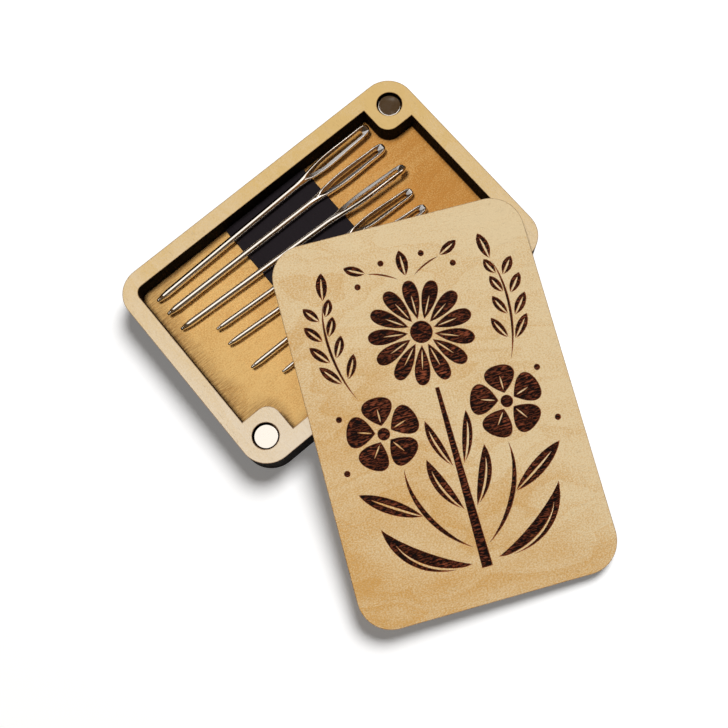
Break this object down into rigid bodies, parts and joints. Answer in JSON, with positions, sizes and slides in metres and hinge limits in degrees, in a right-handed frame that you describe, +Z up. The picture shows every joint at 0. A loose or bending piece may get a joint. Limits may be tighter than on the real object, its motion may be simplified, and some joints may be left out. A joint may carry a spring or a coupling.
{
  "type": "needle minder",
  "caption": "Shallow wooden sewing-needle tray with a magnetic strip and large-eyed blunt needles, and a loose burned-picture lid held by corner magnets.",
  "frame": {"origin": "centre of the tray's underside, on the surface that it stands on", "axes": "+X along the tray's long side, +Y across the tray away from the leaning lid, +Z up"},
  "size_m": [0.0924, 0.1267, 0.016],
  "materials": {
    "plywood_faces": "pale plywood, laser cut, edges burned dark",
    "lid_plywood": "pale plywood with a burned picture",
    "magnet_nickel": "bright nickel plate",
    "strip_rubber": "black flexible magnet, semi-gloss",
    "needle_steel": "polished nickel-plated steel"
  },
  "bodies": {
    "tray": {"bottom_panel": "plywood_faces", "lower_frame": "plywood_faces", "upper_frame": "plywood_faces", "tray_magnet_right": "magnet_nickel", "tray_magnet_left": "magnet_nickel", "magnetic_strip": "strip_rubber"},
    "lid": {"lid": "lid_plywood", "lid_magnet_upper": "magnet_nickel", "lid_magnet_lower": "magnet_nickel"},
    "large_needle_far": {"large_needle_far": "needle_steel"},
    "large_needle_middle": {"large_needle_middle": "needle_steel"},
    "large_needle_near": {"large_needle_near": "needle_steel"},
    "medium_needle_far": {"medium_needle_far": "needle_steel"},
    "medium_needle_middle": {"medium_needle_middle": "needle_steel"},
    "medium_needle_near": {"medium_needle_near": "needle_steel"},
    "small_needle_far": {"small_needle_far": "needle_steel"},
    "small_needle_middle": {"small_needle_middle": "needle_steel"},
    "small_needle_near": {"small_needle_near": "needle_steel"}
  },
  "joints": [
    {"name": "lid_lift", "type": "slide", "parent": "tray", "child": "lid", "axis": [0, 0, 1], "range_m": [0, 0.06]},
    {"name": "large_needle_far_lift", "type": "slide", "parent": "tray", "child": "large_needle_far", "axis": [0, 0, 1], "range_m": [0, 0.04]},
    {"name": "large_needle_middle_lift", "type": "slide", "parent": "tray", "child": "large_needle_middle", "axis": [0, 0, 1], "range_m": [0, 0.04]},
    {"name": "large_needle_near_slide", "type": "slide", "parent": "tray", "child": "large_needle_near", "axis": [0.9983, -0.0532, 0.0229], "range_m": [0, 0.009]},
    {"name": "medium_needle_far_slide", "type": "slide", "parent": "tray", "child": "medium_needle_far", "axis": [0.9982, -0.0593, 0], "range_m": [-0.009, 0.0115]},
    {"name": "medium_needle_middle_slide", "type": "slide", "parent": "tray", "child": "medium_needle_middle", "axis": [0.9976, -0.0698, 0.0007], "range_m": [-0.0085, 0.012]},
    {"name": "medium_needle_near_slide", "type": "slide", "parent": "tray", "child": "medium_needle_near", "axis": [0.9999, -0.014, 0], "range_m": [-0.0095, 0.011]},
    {"name": "small_needle_far_slide", "type": "slide", "parent": "tray", "child": "small_needle_far", "axis": [0.9999, -0.0157, 0], "range_m": [-0.0145, 0.014]},
    {"name": "small_needle_middle_slide", "type": "slide", "parent": "tray", "child": "small_needle_middle", "axis": [0.9999, 0.0105, 0], "range_m": [-0.0075, 0.013]},
    {"name": "small_needle_near_slide", "type": "slide", "parent": "tray", "child": "small_needle_near", "axis": [1, 0.0035, 0], "range_m": [-0.0065, 0.0135]}
  ]
}
